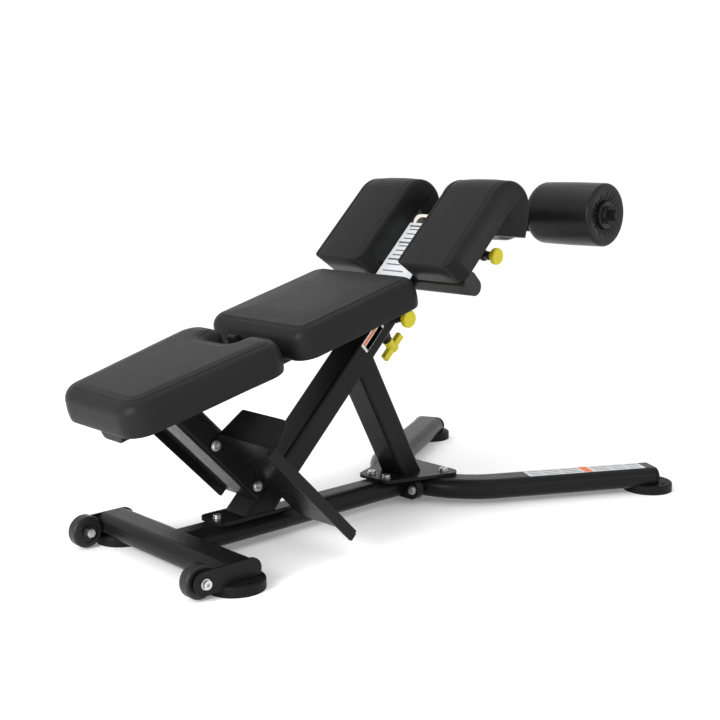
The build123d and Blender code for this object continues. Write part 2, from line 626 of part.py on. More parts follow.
def head():
    length = SLEEVE_END - SLEEVE_START
    sleeve_outer = extrude(x_plane(SLEEVE_START, SLEEVE_MID_Z) * sleeve_section(), amount=length)
    sleeve_inner = extrude(x_plane(SLEEVE_START, SLEEVE_MID_Z) * sleeve_section(SLEEVE_WALL), amount=length)
    rail_slot = Pos(340, 0, SLEEVE_MID_Z - 25) * Box(300, 12, 60)
    keep("roller_sleeve", sleeve_outer - sleeve_inner - rail_slot)
    arm_space = oval(ARM_WIDTH + 2 * LINER_GAP, ARM_HEIGHT + 2 * LINER_GAP)
    liners = []
    for start, lip in ((SLEEVE_START, -3.0), (SLEEVE_END - 36, 0.0)):
        plug = extrude(x_plane(start, SLEEVE_MID_Z) * sleeve_section(SLEEVE_WALL), amount=36)
        lip_start = start - 3 if lip else SLEEVE_END
        rim = extrude(x_plane(lip_start, SLEEVE_MID_Z) * sleeve_section(1.0), amount=3)
        hole = extrude(x_plane(lip_start - 40, SLEEVE_MID_Z) * arm_space, amount=90)
        liners.append((plug + rim) - hole - rail_slot)
    keep("sleeve_liners", *liners)

    inner_outer, inner_inner = slanted_tube(
        (MAST_FOOT_X, 0, 0), MAST_ANGLE, INNER_START, 950, INNER_DEPTH, INNER_WIDTH
    )
    roof = Pos(0, 0, SLEEVE_MID_Z - 8 + 500) * Box(3000, 1000, 1000)
    under_sleeve = extrude(x_plane(SLEEVE_START - 3.5, SLEEVE_MID_Z) * sleeve_section(), amount=length)
    inner_tube = less(inner_outer, inner_inner, roof, under_sleeve)
    inner_tube = inner_tube.solids().sort_by(SortBy.VOLUME)[-1]
    t_way = Plane(origin=on_mast(T_HANDLE_ALONG, 0), z_dir=(1, 0, -1))
    for step in range(6):
        hole = extrude(t_way * Circle(T_PLUNGER_RADIUS + 0.5), amount=40)
        inner_tube = inner_tube - hole.translate(MAST.x_dir * (-30.0 * step))
    keep("inner_mast_tube", inner_tube)

    liner_outer = slanted_tube((MAST_FOOT_X, 0, 0), MAST_ANGLE, MAST_TOP - 80, MAST_TOP)[1]
    collar = slanted_tube((MAST_FOOT_X, 0, 0), MAST_ANGLE, MAST_TOP, MAST_TOP + 5)[0]
    stub = slanted_tube((MAST_FOOT_X, 0, 0), MAST_ANGLE, MAST_TOP - 80, MAST_TOP)[0]
    bore = slanted_tube(
        (MAST_FOOT_X, 0, 0), MAST_ANGLE, MAST_TOP - 90, MAST_TOP + 20,
        INNER_DEPTH + 2 * LINER_GAP, INNER_WIDTH + 2 * LINER_GAP,
    )[0]
    t_hole = extrude(t_way * Circle(T_PLUNGER_RADIUS + 0.3), amount=60)
    keep("mast_liner", ((liner_outer & stub) + collar) - bore - t_hole)
    return sleeve_outer, inner_outer


def head_parts(sleeve_outer, inner_outer):
    end_y = 212.0
    section = Pos(*CROSSBAR_AT) * Rot(0, 0, 90) * oval(65, 42)
    bar_outer = slab(MAST, section, -end_y, end_y)
    bar_inner = slab(MAST, Pos(*CROSSBAR_AT) * Rot(0, 0, 90) * oval(65 - 2 * WALL, 42 - 2 * WALL), -end_y, end_y)
    crossbar = (bar_outer - bar_inner) - inner_outer
    keep("thigh_crossbar", crossbar.solids().sort_by(SortBy.VOLUME)[-1])
    cap = slab(MAST, section, end_y, end_y + 5)
    cap = fillet(cap.edges().group_by(Axis.Y)[-1], 2.5)
    keep("crossbar_caps", *both_sides(cap))

    placard = slab(MAST, outline([(737, 27.3), (929, 27.3), (929, 30.3), (737, 30.3)]), -58, 58)
    spacer = slab(MAST, outline([(820, 24), (870, 24), (870, 27.3), (820, 27.3)]), -20, 20)
    keep("placard_plate", placard + spacer)

    thigh_pads()

    # Two side plates weld the sleeve to the sliding tube and carry the roller arm's lock pin.
    eye_x, eye_z = ARM_PIN
    shape = outline([(172, 570), (300, 572), (eye_x + 12, eye_z - 14), (372, 648), (220, 648)],
                    [0, 10, 12, 0, 0])
    plates = []
    for low, high in ((-34, -26), (26, 34)):
        plate = slab(SIDE, shape, low, high)
        plate = less(plate, sleeve_outer, inner_outer)
        plates.append(plate.solids().sort_by(SortBy.VOLUME)[-1])
    hole = slab(SIDE, Pos(eye_x, eye_z) * Circle(11), -40, -20)
    keep("head_side_plates", plates[0] - hole, plates[1])


def thigh_profile():
    """Side view of a thigh pad: a slab that folds over into a short leg at its upper end."""
    centre, radius = THIGH_DOME
    front, crest = centre + radius, THIGH_FACE - radius
    tip, heel, inner = (982, -65), (972, -50), (978.7, THIGH_UNDER)
    slab_line = Polyline([inner, (757, THIGH_UNDER), (743, THIGH_FACE), (centre, THIGH_FACE)])
    dome = RadiusArc((centre, THIGH_FACE), (front, crest), radius)
    nose = Spline([(front, crest), (front - 1, crest - 26), (1034, -36), tip], tangents=[(0, -1), (-1, -0.7)])
    leg = Polyline([tip, heel, inner])
    return make_face(Curve() + [slab_line, dome, nose, leg])


def thigh_pads():
    soft = slab(MAST, thigh_profile(), THIGH_INNER_Y, THIGH_OUTER_Y)
    shape = outline([(766, THIGH_UNDER), (978.7, THIGH_UNDER), (972.8, -41), (982.8, -41), (988.7, 38), (766, 38)])
    board = slab(MAST, shape, THIGH_INNER_Y + 9, THIGH_OUTER_Y - 9)
    soft = round_thigh_edges(soft) - board
    keep("thigh_pad_left", soft)
    keep("thigh_pad_right", mirror(soft, about=Plane.XZ))
    keep("thigh_pad_boards", *both_sides(board))


def round_thigh_edges(block):
    """Round the upper edges of a thigh pad's two end faces."""
    rims = []
    for edge in block.edges():
        centre = edge.center()
        in_end_face = min(abs(centre.Y - THIGH_INNER_Y), abs(centre.Y - THIGH_OUTER_Y)) < 0.1
        place = MAST.to_local_coords(centre)
        if in_end_face and (place.Y > 70 or place.X > 1010):
            rims.append(edge)
    return fillet(rims, THIGH_EDGE)


# ---- roller arm -------------------------------------------------------------------------------------------
def roller_arm():
    arm = tube(
        x_plane(0, SLEEVE_MID_Z),
        oval(ARM_WIDTH, ARM_HEIGHT),
        oval(ARM_WIDTH - 2 * WALL, ARM_HEIGHT - 2 * WALL),
        ARM_START,
        ARM_NECK_X - ARM_START,
    )
    neck_wall = extrude(x_plane(ARM_NECK_X, SLEEVE_MID_Z) * oval(ARM_WIDTH, ARM_HEIGHT), amount=5)
    neck = extrude(x_plane(ARM_NECK_X + 5, SLEEVE_MID_Z) * RectangleRounded(NECK_WIDTH, NECK_HEIGHT, 8),
                   amount=ARM_END - ARM_NECK_X - 5)
    keep("roller_arm_tube", arm + neck_wall + neck)

    eye_x, eye_z = ARM_PIN
    low, high = eye_x - 2.5 * PIN_PITCH, eye_x + 77
    rail = slab(SIDE, outline([(low, 583), (high, 583), (high, 643), (low, 643)], [8, 8, 0, 0]), -4, 4)
    for step in range(-2, 2):
        hole = slab(SIDE, Pos(eye_x + step * PIN_PITCH, eye_z) * Circle(PIN_RADIUS + 0.5), -5, 5)
        rail = rail - hole
    keep("adjusting_rail", rail)

    # A plate on the neck and a saddle carry the bar through both rollers; collars keep the rollers on it.
    plate_low = SLEEVE_MID_Z - NECK_HEIGHT / 2
    plate_high = ROLLER_Z + HUB_RADIUS
    plate = Pos(ARM_END + 3, 0, (plate_low + plate_high) / 2) * Box(6, NECK_WIDTH, plate_high - plate_low)
    saddle_start = ARM_END + 6
    saddle = Pos((saddle_start + ROLLER_X) / 2, 0, ROLLER_Z) * Box(ROLLER_X - saddle_start, NECK_WIDTH, 26)
    axle_end = ROLLER_OUTER_Y + AXLE_STUB
    bar = disc_y(ROLLER_X, ROLLER_Z, AXLE_BAR_RADIUS, -axle_end, axle_end)
    boss = disc_y(ROLLER_X, ROLLER_Z, HUB_RADIUS, 3 - ROLLER_INNER_Y, ROLLER_INNER_Y - 3)
    collar_start = ROLLER_OUTER_Y + HUB_SLEEVE_LENGTH + 0.4
    collar = disc_y(ROLLER_X, ROLLER_Z, HUB_SLEEVE_RADIUS + 3, collar_start, collar_start + 3)
    stub = disc_y(ROLLER_X, ROLLER_Z, AXLE_STUB_RADIUS, collar_start, axle_end)
    keep("roller_axle", plate + saddle + bar + boss + both_sides(collar + stub))

    # One roller is drawn on the +Y side and mirrored.
    low, high = ROLLER_INNER_Y, ROLLER_OUTER_Y
    foam = disc_y(ROLLER_X, ROLLER_Z, ROLLER_RADIUS, low, high)
    foam = fillet(foam.edges().group_by(Axis.Y)[0], ROLLER_INNER_EDGE)
    foam = fillet(foam.edges().group_by(Axis.Y)[-1], ROLLER_OUTER_EDGE)
    foam = foam - disc_y(ROLLER_X, ROLLER_Z, HUB_FLANGE_RADIUS, high - 4, high + 2)
    foam = foam - disc_y(ROLLER_X, ROLLER_Z, HUB_RADIUS, low, high)
    hub = disc_y(ROLLER_X, ROLLER_Z, HUB_RADIUS, low - 1, high)
    hub = hub + disc_y(ROLLER_X, ROLLER_Z, HUB_FLANGE_RADIUS - 0.2, high - 4, high + 2)
    hub = hub + disc_y(ROLLER_X, ROLLER_Z, HUB_SLEEVE_RADIUS, high, high + HUB_SLEEVE_LENGTH)
    hub = hub - disc_y(ROLLER_X, ROLLER_Z, AXLE_BAR_RADIUS + RUNNING, low - 1, high + HUB_SLEEVE_LENGTH)
    for name, shape in (("roller_foam_", foam), ("roller_hub_", hub)):
        keep(name + "left", shape)
        keep(name + "right", mirror(shape, about=Plane.XZ))


# ---- build ------------------------------------------------------------------------------------------------
def build():
    stabiliser = rear_end()
    bar, legs, legs_inner = base(stabiliser)
    feet(stabiliser, legs)
    structure(bar, legs, legs_inner)
    screws = foot_plate_screws()
    sheet, bracket, lip, guard = foot_plates()
    plate = less(sheet + bracket + lip + guard, *screws)
    keep("foot_plates", *both_sides(plate))
    keep("foot_plate_screws", *screws)
    pads()
    hinge()
    latch()
    pull_pin("pad_pin", MAST, PAD_PIN_ALONG, 0, -MAST_WIDTH / 2 - 1, LATCH_Y)
    t_handle()
    sleeve_outer, inner_outer = head()
    head_parts(sleeve_outer, inner_outer)
    pull_pin("arm_pin", SIDE, *ARM_PIN, -5, 26, ARM_PIN_STAND_OFF)
    roller_arm()
    os.makedirs("parts", exist_ok=True)
    for name, shape in NODES.items():
        export_step(Pos(ORIGIN_SHIFT, 0, 0) * shape, f"parts/{name}.step")


build()
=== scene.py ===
"""Looks of the ab and back bench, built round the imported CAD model.

Outlines, profiles and labels are in millimetres and are turned into metres by MM.
"""
import bpy
import json
import math
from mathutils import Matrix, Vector, noise


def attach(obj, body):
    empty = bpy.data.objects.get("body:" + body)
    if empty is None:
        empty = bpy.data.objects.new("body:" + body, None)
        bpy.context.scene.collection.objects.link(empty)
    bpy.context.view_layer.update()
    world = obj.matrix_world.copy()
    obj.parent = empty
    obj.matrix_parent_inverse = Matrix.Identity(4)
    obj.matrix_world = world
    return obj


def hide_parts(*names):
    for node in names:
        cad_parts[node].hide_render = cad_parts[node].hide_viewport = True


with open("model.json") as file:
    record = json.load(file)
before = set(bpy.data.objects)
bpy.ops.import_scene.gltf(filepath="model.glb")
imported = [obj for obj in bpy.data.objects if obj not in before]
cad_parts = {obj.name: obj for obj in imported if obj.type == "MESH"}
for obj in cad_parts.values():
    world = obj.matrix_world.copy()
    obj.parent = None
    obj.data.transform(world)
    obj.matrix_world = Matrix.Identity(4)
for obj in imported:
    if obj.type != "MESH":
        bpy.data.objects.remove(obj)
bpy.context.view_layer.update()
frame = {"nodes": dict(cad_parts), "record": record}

MM = 0.001
SLOPE = math.radians(15)
DIAGONAL = math.sqrt(0.5)

# The three slanted frames of part.py: origin, then the directions of its x, y and z.
PAD_ORIGIN = Vector((-0.3528, 0, 0.4671))
PAD_UP = Vector((math.cos(SLOPE), 0, math.sin(SLOPE)))
PAD_OUT = Vector((-math.sin(SLOPE), 0, math.cos(SLOPE)))
MAST_ORIGIN = Vector((-0.4051, 0, 0))
MAST_ALONG = Vector((DIAGONAL, 0, DIAGONAL))
MAST_ACROSS = Vector((-DIAGONAL, 0, DIAGONAL))
SIDEWAYS = Vector((0, 1, 0))


# ---- materials --------------------------------------------------------------------------------------------
class Surface:
    """A procedural material: a shader with varied colour, varied roughness and layered bump."""

    def __init__(self, name, colour, roughness, metallic=0.0, coat=0.0, specular=0.5):
        self.material = bpy.data.materials.new(name)
        self.material.use_nodes = True
        self.nodes = self.material.node_tree.nodes
        self.links = self.material.node_tree.links
        self.shader = self.nodes["Principled BSDF"]
        self.shader.inputs["Base Color"].default_value = (*colour, 1)
        self.shader.inputs["Roughness"].default_value = roughness
        self.shader.inputs["Metallic"].default_value = metallic
        self.shader.inputs["Coat Weight"].default_value = coat
        self.shader.inputs["Specular IOR Level"].default_value = specular
        self.colour = colour
        self.roughness = roughness
        self.place = self.nodes.new("ShaderNodeTexCoord").outputs["Object"]
        self.normal = None

    def noise(self, scale, detail=4.0):
        node = self.nodes.new("ShaderNodeTexNoise")
        node.inputs["Scale"].default_value = scale
        node.inputs["Detail"].default_value = detail
        self.links.new(self.place, node.inputs["Vector"])
        return node.outputs["Fac"]

    def cells(self, scale, feature="DISTANCE_TO_EDGE"):
        node = self.nodes.new("ShaderNodeTexVoronoi")
        node.feature = feature
        node.inputs["Scale"].default_value = scale
        self.links.new(self.place, node.inputs["Vector"])
        return node.outputs["Distance"]

    def vary_colour(self, scale, spread):
        """Mottle the colour between darker and lighter by the given share."""
        mix = self.nodes.new("ShaderNodeMix")
        mix.data_type = "RGBA"
        mix.inputs["A"].default_value = (*[c * (1 - spread) for c in self.colour], 1)
        mix.inputs["B"].default_value = (*[min(1, c * (1 + spread)) for c in self.colour], 1)
        self.links.new(self.noise(scale), mix.inputs["Factor"])
        self.links.new(mix.outputs["Result"], self.shader.inputs["Base Color"])
        return self

    def vary_roughness(self, scale, spread):
        ramp = self.nodes.new("ShaderNodeMapRange")
        ramp.inputs["From Min"].default_value = 0.3
        ramp.inputs["From Max"].default_value = 0.7
        ramp.inputs["To Min"].default_value = self.roughness - spread
        ramp.inputs["To Max"].default_value = self.roughness + spread
        self.links.new(self.noise(scale), ramp.inputs["Value"])
        self.links.new(ramp.outputs["Result"], self.shader.inputs["Roughness"])
        return self

    def bump(self, height, strength, depth):
        """Add one layer of bump; depth is in metres."""
        node = self.nodes.new("ShaderNodeBump")
        node.inputs["Strength"].default_value = strength
        node.inputs["Distance"].default_value = depth
        self.links.new(height, node.inputs["Height"])
        if self.normal:
            self.links.new(self.normal, node.inputs["Normal"])
        self.normal = node.outputs["Normal"]
        self.links.new(self.normal, self.shader.inputs["Normal"])
        return self


def powder_coat():
    surface = Surface("powder_coat", (0.008, 0.008, 0.0082), 0.30, specular=0.12)
    surface.vary_colour(35, 0.12).vary_roughness(60, 0.04)
    return surface.bump(surface.noise(1400, 2), 0.22, 0.0004).material


def vinyl():
    surface = Surface("charcoal_vinyl", (0.014, 0.014, 0.0143), 0.38, specular=0.07)
    surface.vary_colour(22, 0.08).vary_roughness(45, 0.02)
    surface.bump(surface.cells(1100), 0.22, 0.0005)
    return surface.bump(surface.noise(420, 3), 0.18, 0.0006).material


def roller_skin():
    surface = Surface("roller_skin", (0.007, 0.007, 0.0072), 0.34, specular=0.2)
    surface.vary_colour(30, 0.12).vary_roughness(40, 0.05)
    return surface.bump(surface.noise(700, 3), 0.16, 0.0004).material


def yellow_plastic():
    surface = Surface("yellow_plastic", (0.62, 0.54, 0.015), 0.38, coat=0.05, specular=0.3)
    surface.vary_colour(120, 0.06).vary_roughness(80, 0.04)
    return surface.bump(surface.noise(900, 2), 0.1, 0.0003).material


def zinc():
    surface = Surface("zinc_plate", (0.60, 0.60, 0.62), 0.32, metallic=1.0)
    surface.vary_colour(240, 0.10).vary_roughness(160, 0.07)
    return surface.bump(surface.noise(1500, 2), 0.1, 0.0002).material


def bright_steel():
    surface = Surface("bright_steel", (0.55, 0.55, 0.57), 0.25, metallic=1.0)
    surface.vary_colour(300, 0.06).vary_roughness(200, 0.05)
    return surface.bump(surface.noise(1800, 2), 0.08, 0.0002).material


def black_oxide():
    surface = Surface("black_oxide", (0.012, 0.012, 0.0122), 0.42, metallic=0.4)
    surface.vary_colour(150, 0.15).vary_roughness(120, 0.06)
    return surface.bump(surface.noise(900, 2), 0.12, 0.0003).material


def foot_rubber():
    surface = Surface("foot_rubber", (0.005, 0.005, 0.0051), 0.60, specular=0.15)
    surface.vary_colour(60, 0.15).vary_roughness(90, 0.06)
    return surface.bump(surface.noise(600, 3), 0.25, 0.0005).material


def wheel_rubber():
    surface = Surface("wheel_rubber", (0.007, 0.007, 0.0072), 0.42, specular=0.35)
    surface.vary_colour(60, 0.12).vary_roughness(90, 0.05)
    return surface.bump(surface.noise(500, 3), 0.18, 0.0004).material


def black_plastic():
    surface = Surface("black_plastic", (0.008, 0.008, 0.0082), 0.44, specular=0.35)
    surface.vary_colour(80, 0.1).vary_roughness(90, 0.05)
    return surface.bump(surface.noise(1000, 2), 0.18, 0.0004).material


def nylon():
    surface = Surface("natural_nylon", (0.72, 0.68, 0.60), 0.42)
    surface.vary_colour(90, 0.05).vary_roughness(90, 0.05)
    return surface.bump(surface.noise(900, 2), 0.1, 0.0003).material


def board_with_painted_warm_light():
    # Near-black board; its olive tint is painted warm light, put into the base colour in place of a warm lamp.
    surface = Surface("board_with_painted_warm_light", (0.020, 0.018, 0.009), 0.6, specular=0.15)
    surface.vary_colour(50, 0.25).vary_roughness(60, 0.08)
    return surface.bump(surface.noise(260, 4), 0.3, 0.0006).material


def printed(name, colour):
    surface = Surface(name, colour, 0.5)
    surface.vary_colour(90, 0.03).vary_roughness(120, 0.04)
    return surface.bump(surface.noise(900, 2), 0.06, 0.0002).material


MATERIALS = {
    "frame_black": powder_coat(),
    "pad_vinyl": vinyl(),
    "roller_foam": roller_skin(),
    "board": board_with_painted_warm_light(),
    "knob_yellow": yellow_plastic(),
    "zinc": zinc(),
    "steel": bright_steel(),
    "pin_black": black_oxide(),
    "rubber": foot_rubber(),
    "wheel": wheel_rubber(),
    "plastic_black": black_plastic(),
    "liner": nylon(),
    "placard": printed("placard_grey", (0.62, 0.64, 0.66)),
}
LABEL_PALE = printed("label_pale", (0.66, 0.67, 0.68))
LABEL_GREY = printed("label_grey", (0.22, 0.23, 0.25))
LABEL_ORANGE = printed("label_orange", (0.75, 0.16, 0.025))


def paint_frame():
    """Give every CAD node the procedural material of its slot."""
    for part in frame["record"]["subparts"]:
        obj = frame["nodes"][part["node"]]
        obj.data.materials.clear()
        obj.data.materials.append(MATERIALS[part["material_slot"]])


# ---- mesh helpers -----------------------------------------------------------------------------------------
def new_piece(name, points, faces, body, slot, material=None, smooth=True):
    mesh = bpy.data.meshes.new(name)
    mesh.from_pydata([tuple(p) for p in points], [], faces)
    mesh.validate()
    mesh.update()
    piece = bpy.data.objects.new(name, mesh)
    bpy.context.scene.collection.objects.link(piece)
    mesh.materials.append(material or MATERIALS[slot])
    mesh.polygons.foreach_set("use_smooth", [smooth] * len(mesh.polygons))
    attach(piece, body)
    return piece


def skin_rings(rings):
    """Faces that join rings of equal length, with a flat cap on the first and last ring."""
    count = len(rings[0])
    faces = [tuple(reversed(range(count)))]
    for row in range(len(rings) - 1):
        low, high = row * count, (row + 1) * count
        for i in range(count):
            j = (i + 1) % count
            faces.append((low + i, low + j, high + j, high + i))
    last = (len(rings) - 1) * count
    faces.append(tuple(last + i for i in range(count)))
    return [p for ring in rings for p in ring], faces


def offset_polygon(points, inset):
    """Move every edge of a counter-clockwise polygon inwards."""
    moved = []
    count = len(points)
    for i in range(count):
        before, here, after = Vector(points[i - 1]), Vector(points[i]), Vector(points[(i + 1) % count])
        d1, d2 = (here - before).normalized(), (after - here).normalized()
        n1, n2 = Vector((-d1.y, d1.x)), Vector((-d2.y, d2.x))
        bisector = (n1 + n2).normalized()
        moved.append(here + bisector * (inset / max(0.2, bisector.dot(n1))))
    return moved


def rounded_polygon(points, radii, inset, arc_steps=10, edge_steps=14):
    """Points round a polygon with rounded corners, offset inwards; always the same number of points."""
    corners = offset_polygon(points, inset)
    count = len(corners)
    arcs = []
    for i in range(count):
        here = corners[i]
        d1 = (here - corners[i - 1]).normalized()
        d2 = (corners[(i + 1) % count] - here).normalized()
        cross = d1.x * d2.y - d1.y * d2.x
        radius = max(0.4, radii[i] - inset if cross > 0 else radii[i] + inset)
        turn = d1.angle(d2)
        reach = radius * math.tan(turn / 2)
        normal = Vector((-d1.y, d1.x)) * (1 if cross > 0 else -1)
        centre = here - d1 * reach + normal * radius
        arc = []
        for step in range(arc_steps + 1):
            angle = turn * step / arc_steps * (1 if cross > 0 else -1)
            spoke = -normal
            c, s = math.cos(angle), math.sin(angle)
            arc.append(centre + Vector((spoke.x * c - spoke.y * s, spoke.x * s + spoke.y * c)) * radius)
        arcs.append(arc)
    loop = []
    for i in range(count):
        start, end = arcs[i][-1], arcs[(i + 1) % count][0]
        loop += arcs[i]
        loop += [start.lerp(end, step / edge_steps) for step in range(1, edge_steps)]
    return loop


# ---- seat pads --------------------------------------------------------------------------------------------
PAD_TOP = 10.5
PAD_THICK = 71.0
PAD_EDGE = 30.0
SEAMS = ((70.0, 1.5), (79.0, 1.1))
SEAM_HALF = 2.6


def edge_profile():
    """(inset, height) from the pad's underside up its side and over the top edge, with two sewn grooves."""
    rows = [(9.0, -PAD_THICK + 0.4), (4.0, -PAD_THICK + 0.3), (1.4, -PAD_THICK + 1.2), (0.3, -PAD_THICK + 4)]
    for step in range(1, 7):
        share = step / 7
        height = -PAD_THICK + 4 + share * (PAD_THICK - PAD_EDGE - 4)
        rows.append((-1.2 * math.sin(math.pi * share), height))
    angles = list(range(0, 66, 6))
    for middle, _ in SEAMS:
        angles += [middle + SEAM_HALF * step / 2 for step in range(-2, 3)]
    angles += [85, 90]
    for angle in angles:
        depth = 0.0
        for middle, deepest in SEAMS:
            away = abs(angle - middle) / SEAM_HALF
            if away < 1:
                depth = deepest * math.cos(away * math.pi / 2) ** 2
        phi = math.radians(angle)
        radius = PAD_EDGE - depth
        rows.append((PAD_EDGE - radius * math.cos(phi), -PAD_EDGE + radius * math.sin(phi)))
    return rows


def seat_pad(name, body, outline, radii, crown, crown_width):
    """Crowned vinyl pad over the CAD pad of the same name; the crown rises over crown_width from the edge."""
    def place(point, height):
        ripple = noise.noise(Vector((point.x * 0.012, point.y * 0.012, len(name)))) * 0.5
        spot = PAD_ORIGIN + PAD_UP * (point.x * MM) + SIDEWAYS * (point.y * MM)
        return spot + PAD_OUT * ((height + PAD_TOP + ripple) * MM)

    rows = edge_profile()
    steps = 8
    for step in range(1, steps + 1):
        share = step / steps
        rows.append((PAD_EDGE + crown_width * share, crown * math.sin(share * math.pi / 2)))
    rings = [[place(p, height) for p in rounded_polygon(outline, radii, inset)] for inset, height in rows]
    points, faces = skin_rings(rings)
    pad = new_piece(name + "_cover", points, faces, body, "pad_vinyl")
    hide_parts(name)
    return pad


def seat_pads():
    """The lower pad has the open notch for the fingers in its upper end."""
    lower = [(-381.5, -137), (-1, -167), (-1, -50), (-55, -44), (-55, 44), (-1, 50), (-1, 167), (-381.5, 137)]
    seat_pad("lower_pad", "frame", lower, [52, 52, 32, 10, 10, 32, 52, 52], 2.0, 12.0)
    upper = [(29.5, -167), (396, -172), (396, 172), (29.5, 167)]
    seat_pad("upper_pad", "back_pad", upper, [42, 42, 42, 42], 3.5, 70.0)


# ---- thigh pads -------------------------------------------------------------------------------------------
THIGH_INNER = 60.5
THIGH_OUTER = 226.5
THIGH_UNDER = 28.0
THIGH_FACE = 98.0
THIGH_LOW_END = (757.0, 743.0)
THIGH_EDGE = 10.0
THIGH_CORNER = 30.0


def even_steps(corners, count):
    """The given number of points, evenly spaced along a run of straight pieces."""
    corners = [Vector(c) for c in corners]
    lengths = [(b - a).length for a, b in zip(corners, corners[1:])]
    points = []
    for step in range(count):
        left = sum(lengths) * step / (count - 1)
        piece = 0
        while piece < len(lengths) - 1 and left > lengths[piece]:
            left -= lengths[piece]
            piece += 1
        points.append(corners[piece].lerp(corners[piece + 1], min(1.0, left / lengths[piece])))
    return points


def thigh_sides():
    """The under and the upper line of a thigh pad's side view (along, across), with as many points each."""
    centre = Vector((980, 20))
    radius = THIGH_FACE - centre.y
    upper = [Vector((THIGH_LOW_END[1], THIGH_FACE))]
    for step in range(31):
        angle = math.radians(3 * step)
        upper.append(centre + radius * Vector((math.sin(angle), math.cos(angle))))
    p0, p1, p2, p3 = upper[-1], Vector((1058, -8)), Vector((1040, -32)), Vector((982, -65))
    for step in range(1, 15):
        t = step / 14
        upper.append(p0 * (1 - t) ** 3 + p1 * 3 * t * (1 - t) ** 2 + p2 * 3 * t * t * (1 - t) + p3 * t ** 3)
    under = [(THIGH_LOW_END[0], THIGH_UNDER), (978.7, THIGH_UNDER), (972, -50)]
    return even_steps(under, 80), even_steps(upper, 80)


def normals_to_right(line):
    """Unit normals on the right-hand side of an open line: into the pad for its upper line."""
    normals = []
    for i in range(len(line)):
        tangent = (line[min(i + 1, len(line) - 1)] - line[max(i - 1, 0)]).normalized()
        normals.append(Vector((tangent.y, -tangent.x)))
    return normals


def thigh_rows():
    """(distance in from one end of the pad, inset of the upper line) up to the middle, with a double seam."""
    rows = []
    for angle in range(0, 91, 9):
        phi = math.radians(angle)
        rows.append((THIGH_EDGE * (1 - math.cos(phi)), THIGH_EDGE * (1 - math.sin(phi))))
    for centre, depth in ((THIGH_EDGE + 2.5, 1.4), (THIGH_EDGE + 6.5, 1.0)):
        rows += [(centre - 1.2, 0.1), (centre - 0.5, depth * 0.7), (centre, depth), (centre + 0.5, depth * 0.7),
                 (centre + 1.2, 0.1)]
    rows += [(24, -0.3), (32, -0.9), (45, -1.6), (62, -2.1)]
    return rows


def thigh_pad(name, side):
    """Folded vinyl pad: rings of an under and an upper line, with the two end faces filled between them."""
    under, upper = thigh_sides()
    normals = normals_to_right(upper)
    half = (THIGH_OUTER - THIGH_INNER) / 2
    centre_y = (THIGH_OUTER + THIGH_INNER) / 2
    rows = thigh_rows()
    sequence = [(-half + into, inset) for into, inset in rows]
    sequence += [(half - into, inset) for into, inset in reversed(rows)]

    def place(point, y):
        along = round_corner(point, half - abs(y))
        spot = MAST_ORIGIN + MAST_ALONG * (along * MM) + MAST_ACROSS * (point.y * MM)
        return spot + SIDEWAYS * (side * (centre_y + y) * MM)

    rings = []
    for y, inset in sequence:
        raised = [place(point + normal * inset, y) for point, normal in zip(upper, normals)]
        rings.append([place(point, y) for point in under] + raised[::-1])
    if side > 0:
        rings.reverse()
    points, faces = skin_rings(rings)
    count = len(under)
    last = (len(rings) - 1) * 2 * count
    ends = []
    for i in range(count - 1):
        quad = (i, i + 1, 2 * count - 2 - i, 2 * count - 1 - i)
        ends += [quad[::-1], tuple(last + k for k in quad)]
    pad = new_piece(name + "_cover", points, faces[1:-1] + ends, "head", "pad_vinyl")
    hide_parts(name)
    return pad


def round_corner(point, from_side):
    """Along-position of a point once the two lower corners, seen from the front, are rounded."""
    share = (point.y - THIGH_UNDER) / (THIGH_FACE - THIGH_UNDER)
    end = THIGH_LOW_END[0] + (THIGH_LOW_END[1] - THIGH_LOW_END[0]) * share
    from_end = point.x - end
    if from_end >= THIGH_CORNER or from_side >= THIGH_CORNER:
        return point.x
    away = math.hypot(THIGH_CORNER - from_end, THIGH_CORNER - from_side)
    if away <= THIGH_CORNER:
        return point.x
    reach = math.sqrt(max(0.0, THIGH_CORNER ** 2 - (THIGH_CORNER - max(0.0, from_side)) ** 2))
    return end + THIGH_CORNER - reach


def thigh_pads():
    thigh_pad("thigh_pad_left", 1)
    thigh_pad("thigh_pad_right", -1)


# ---- ankle rollers ----------------------------------------------------------------------------------------
ROLLER_X = 621.3
ROLLER_Z = 695.1
ROLLER_RADIUS = 80.0
ROLLER_INNER = 45.0
ROLLER_OUTER = 253.0
INNER_EDGE = 27.0
OUTER_EDGE = 8.0
FACE_RADIUS = ROLLER_RADIUS - OUTER_EDGE
FLANGE_RADIUS = 34.0
PLEATS = 24


def lathe(name, profile, side, body, slot, segments=192, pleat=None, material=None):
    """Turned piece about the roller axis from (radius, y) rows; pleat gives the sideways ruffle of a row."""
    rings = []
    for radius, y in profile:
        ring = []
        for i in range(segments):
            angle = 2 * math.pi * i / segments
            push = pleat(radius, y, angle) if pleat else 0.0
            ring.append(Vector((
                (ROLLER_X + radius * math.cos(angle)) * MM,
                side * (y - push) * MM,
                (ROLLER_Z + radius * math.sin(angle)) * MM,
            )))
        rings.append(ring)
    if side > 0:
        rings.reverse()
    points, faces = skin_rings(rings)
    return new_piece(name, points, faces[1:-1], body, slot, material)


